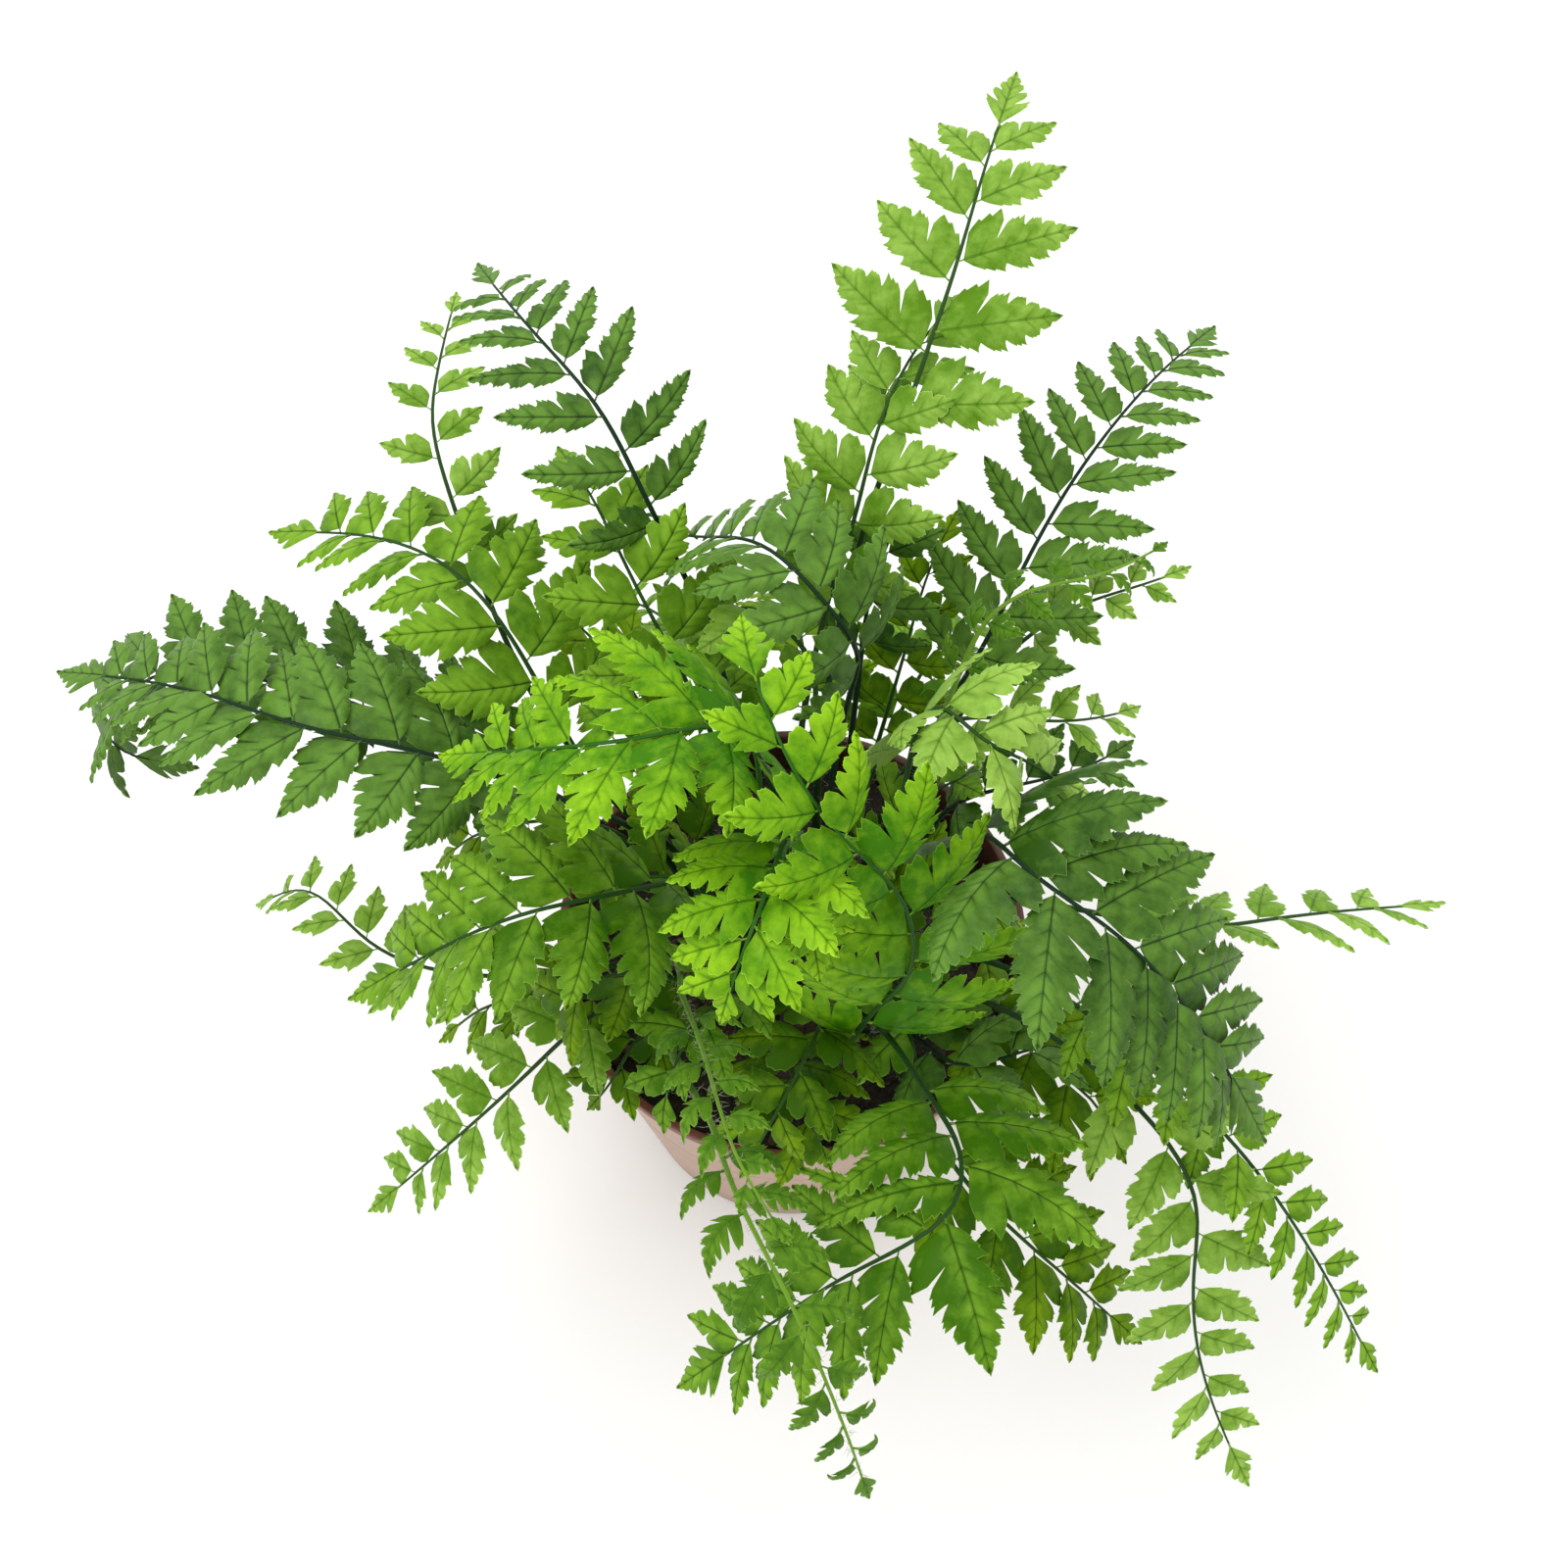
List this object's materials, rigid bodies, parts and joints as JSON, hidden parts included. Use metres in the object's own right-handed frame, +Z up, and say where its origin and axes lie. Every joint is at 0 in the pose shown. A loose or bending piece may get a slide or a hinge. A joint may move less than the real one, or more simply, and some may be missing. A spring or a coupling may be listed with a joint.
{
  "type": "potted fern",
  "caption": "Round tapered nursery pot of dark soil with a short scaly rootstock and a spreading tuft of arching fern fronds with lobed, toothed leaflets.",
  "frame": {"origin": "middle of the pot's flat underside, on the surface the pot stands on", "axes": "+Z up along the pot's axis; +X to the right and -Y towards the viewer, as seen in the picture"},
  "size_m": [0.3136, 0.2673, 0.2699],
  "materials": {
    "pot": "thin moulded plastic, pale beige outside",
    "soil": null,
    "rhizome": "brown, scaly",
    "leaf_light": null,
    "leaf_bright": null,
    "leaf_mid": null,
    "leaf_dark": null,
    "leaf_olive": null,
    "leaf_young": null
  },
  "bodies": {
    "root": {"pot": "pot", "soil": "soil", "rhizome": "rhizome", "frond_centre_arch": "leaf_bright", "frond_left_bright": "leaf_bright", "frond_front_bright": "leaf_bright", "frond_right_big": "leaf_dark", "frond_right_arch_light": "leaf_light", "frond_crozier_front": "leaf_young", "frond_front_dark": "leaf_mid", "frond_left_long": "leaf_dark", "frond_left_up_mid": "leaf_mid", "frond_left_up_dark": "leaf_dark", "frond_back_inner": "leaf_light", "frond_back_tall": "leaf_light", "frond_crozier_right": "leaf_young", "frond_back_right": "leaf_dark", "frond_left_broad": "leaf_mid", "frond_left_curl": "leaf_dark", "frond_left_up_light": "leaf_light", "frond_left_inner_up": "leaf_mid", "frond_centre_back_dark": "leaf_dark", "frond_centre_back_side": "leaf_light", "frond_front_bright_side": "leaf_bright", "frond_crozier_front_small": "leaf_young", "frond_front_right_low": "leaf_light", "frond_right_low_outer": "leaf_mid", "frond_front_olive": "leaf_olive", "frond_left_front_low": "leaf_light", "frond_left_low_far": "leaf_light", "frond_right_far_narrow": "leaf_light", "frond_right_far_light": "leaf_light", "frond_centre_back_right": "leaf_olive", "frond_back_mid_dark": "leaf_dark", "frond_right_back_low": "leaf_dark", "frond_right_back_light": "leaf_light", "frond_right_under": "leaf_olive", "frond_front_dark_low": "leaf_dark", "frond_front_left_mid": "leaf_olive", "frond_left_back_olive": "leaf_olive", "frond_left_side_low": "leaf_olive", "frond_left_mid_olive": "leaf_olive", "frond_soil_left": "leaf_olive", "frond_soil_front": "leaf_olive", "frond_centre_low_left": "leaf_olive", "frond_centre_low_right": "leaf_olive", "frond_centre_low_front": "leaf_olive", "frond_centre_low_back": "leaf_mid", "frond_centre_low_far": "leaf_olive", "frond_inner_right": "leaf_mid", "frond_soil_right": "leaf_olive", "frond_inner_back_right": "leaf_mid", "frond_inner_front": "leaf_mid", "frond_back_low_left": "leaf_mid", "frond_back_low_mid": "leaf_olive", "frond_back_low_right": "leaf_mid"}
  },
  "joints": []
}
